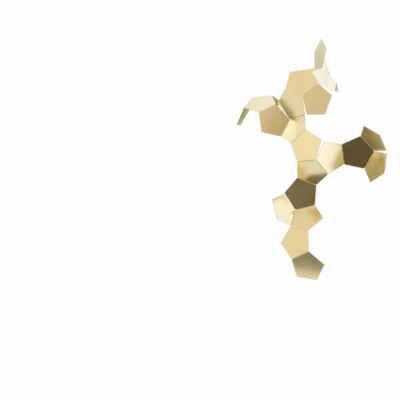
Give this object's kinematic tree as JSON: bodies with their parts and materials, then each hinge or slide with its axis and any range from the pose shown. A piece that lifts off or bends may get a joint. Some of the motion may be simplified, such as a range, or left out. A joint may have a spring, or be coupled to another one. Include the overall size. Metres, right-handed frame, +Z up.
{
  "type": "himmeli ornament",
  "caption": "Free-standing ornament folded from one thin brass sheet: five-sided facets joined edge to edge in a branching chain by fold lines. It also opens out flat.",
  "frame": {"origin": "on the table, under the middle of the folded ornament's bounding box", "axes": "+Z up from the table, +Y from the tail's foot towards the head's foot, +X to the right of someone who looks along +Y"},
  "size_m": [0.1468, 0.2368, 0.0869],
  "materials": {
    "brass_sheet": "satin, with a fine rolling grain"
  },
  "bodies": {
    "neck": {"neck": "brass_sheet"},
    "hub": {"hub": "brass_sheet"},
    "right_shoulder": {"right_shoulder": "brass_sheet"},
    "tail_root": {"tail_root": "brass_sheet"},
    "fork": {"fork": "brass_sheet"},
    "head_link": {"head_link": "brass_sheet"},
    "head": {"head": "brass_sheet"},
    "head_cheek": {"head_cheek": "brass_sheet"},
    "head_crown": {"head_crown": "brass_sheet"},
    "head_back": {"head_back": "brass_sheet"},
    "head_foot": {"head_foot": "brass_sheet"},
    "head_spike": {"head_spike": "brass_sheet"},
    "left_shoulder": {"left_shoulder": "brass_sheet"},
    "left_arm": {"left_arm": "brass_sheet"},
    "left_foot": {"left_foot": "brass_sheet"},
    "left_hand": {"left_hand": "brass_sheet"},
    "right_arm": {"right_arm": "brass_sheet"},
    "right_low_tip": {"right_low_tip": "brass_sheet"},
    "right_high_tip": {"right_high_tip": "brass_sheet"},
    "tail_bend": {"tail_bend": "brass_sheet"},
    "tail_fin": {"tail_fin": "brass_sheet"},
    "tail_link": {"tail_link": "brass_sheet"},
    "tail_end": {"tail_end": "brass_sheet"},
    "tail_foot": {"tail_foot": "brass_sheet"}
  },
  "joints": [
    {"name": "hub_fold", "type": "hinge", "parent": "neck", "child": "hub", "pos_m": [-0.00146, -0.01549, 0.05709], "axis": [0.8935, 0.0575, 0.4454], "range_deg": [-50, 11]},
    {"name": "right_shoulder_fold", "type": "hinge", "parent": "hub", "child": "right_shoulder", "pos_m": [0.01418, -0.01937, 0.05561], "axis": [-0.6705, 0.445, 0.5937], "range_deg": [-59, 2]},
    {"name": "tail_root_fold", "type": "hinge", "parent": "hub", "child": "tail_root", "pos_m": [0.00164, -0.02807, 0.03434], "axis": [-0.9666, 0.2395, 0.0916], "range_deg": [-33, 28]},
    {"name": "fork_fold", "type": "hinge", "parent": "neck", "child": "fork", "pos_m": [-0.01203, 0.00846, 0.05705], "axis": [-0.6438, -0.6229, -0.4444], "range_deg": [-31, 30]},
    {"name": "head_link_fold", "type": "hinge", "parent": "fork", "child": "head_link", "pos_m": [-0.01486, 0.03211, 0.04619], "axis": [0.7105, 0.0645, 0.7007], "range_deg": [-55, 6]},
    {"name": "head_fold", "type": "hinge", "parent": "head_link", "child": "head", "pos_m": [-0.02158, 0.0512, 0.0628], "axis": [-0.8693, 0.3861, -0.3086], "range_deg": [-61, 0]},
    {"name": "head_cheek_fold", "type": "hinge", "parent": "head", "child": "head_cheek", "pos_m": [-0.00604, 0.05462, 0.0657], "axis": [0.6854, 0.728, -0.0184], "range_deg": [-57, 4]},
    {"name": "head_crown_fold", "type": "hinge", "parent": "head", "child": "head_crown", "pos_m": [-0.00364, 0.07026, 0.06232], "axis": [-0.4457, 0.836, -0.32], "range_deg": [-49, 12]},
    {"name": "head_back_fold", "type": "hinge", "parent": "head_crown", "child": "head_back", "pos_m": [0.01119, 0.08059, 0.04338], "axis": [-0.7958, 0.5921, 0.1271], "range_deg": [-43, 18]},
    {"name": "head_foot_fold", "type": "hinge", "parent": "head_back", "child": "head_foot", "pos_m": [0.00235, 0.08745, 0.01971], "axis": [0.5871, -0.4301, -0.6858], "range_deg": [-50, 11]},
    {"name": "head_spike_fold", "type": "hinge", "parent": "head_back", "child": "head_spike", "pos_m": [-0.00015, 0.08913, 0.03561], "axis": [-0.3378, 0.262, -0.904], "range_deg": [-50, 11]},
    {"name": "left_shoulder_fold", "type": "hinge", "parent": "fork", "child": "left_shoulder", "pos_m": [-0.02527, 0.02203, 0.039], "axis": [0.3313, 0.9434, 0.0183], "range_deg": [-65, 0]},
    {"name": "left_arm_fold", "type": "hinge", "parent": "left_shoulder", "child": "left_arm", "pos_m": [-0.04498, 0.03738, 0.04686], "axis": [-0.7964, -0.5812, 0.1671], "range_deg": [-56, 5]},
    {"name": "left_foot_fold", "type": "hinge", "parent": "left_arm", "child": "left_foot", "pos_m": [-0.05186, 0.05574, 0.02952], "axis": [-0.9589, -0.1476, -0.2422], "range_deg": [-57, 4]},
    {"name": "left_hand_fold", "type": "hinge", "parent": "left_arm", "child": "left_hand", "pos_m": [-0.06475, 0.04634, 0.03222], "axis": [-0.3297, -0.7928, 0.5126], "range_deg": [-62, 0]},
    {"name": "right_arm_fold", "type": "hinge", "parent": "right_shoulder", "child": "right_arm", "pos_m": [0.03254, -0.00173, 0.0495], "axis": [0.237, -0.8613, -0.4494], "range_deg": [-38, 23]},
    {"name": "right_low_tip_fold", "type": "hinge", "parent": "right_arm", "child": "right_low_tip", "pos_m": [0.05856, -0.00449, 0.05049], "axis": [-0.3771, -0.7964, -0.4729], "range_deg": [-55, 6]},
    {"name": "right_high_tip_fold", "type": "hinge", "parent": "right_arm", "child": "right_high_tip", "pos_m": [0.05472, 0.00945, 0.05777], "axis": [0.7607, -0.5973, -0.2543], "range_deg": [-56, 5]},
    {"name": "tail_bend_fold", "type": "hinge", "parent": "tail_root", "child": "tail_bend", "pos_m": [0.00316, -0.05076, 0.02136], "axis": [-0.9307, -0.296, -0.2148], "range_deg": [-55, 6]},
    {"name": "tail_fin_fold", "type": "hinge", "parent": "tail_bend", "child": "tail_fin", "pos_m": [-0.00737, -0.06296, 0.02284], "axis": [0.1216, 0.9242, -0.362], "range_deg": [-62, 0]},
    {"name": "tail_link_fold", "type": "hinge", "parent": "tail_bend", "child": "tail_link", "pos_m": [-0.00003, -0.07495, 0.03084], "axis": [0.8556, -0.2752, 0.4385], "range_deg": [-37, 24]},
    {"name": "tail_end_fold", "type": "hinge", "parent": "tail_link", "child": "tail_end", "pos_m": [0.00364, -0.10045, 0.02614], "axis": [0.769, 0.3266, 0.5495], "range_deg": [-38, 23]},
    {"name": "tail_foot_fold", "type": "hinge", "parent": "tail_end", "child": "tail_foot", "pos_m": [0.01962, -0.10172, 0.02836], "axis": [-0.8286, 0.4544, 0.3271], "range_deg": [-125, 0]}
  ]
}
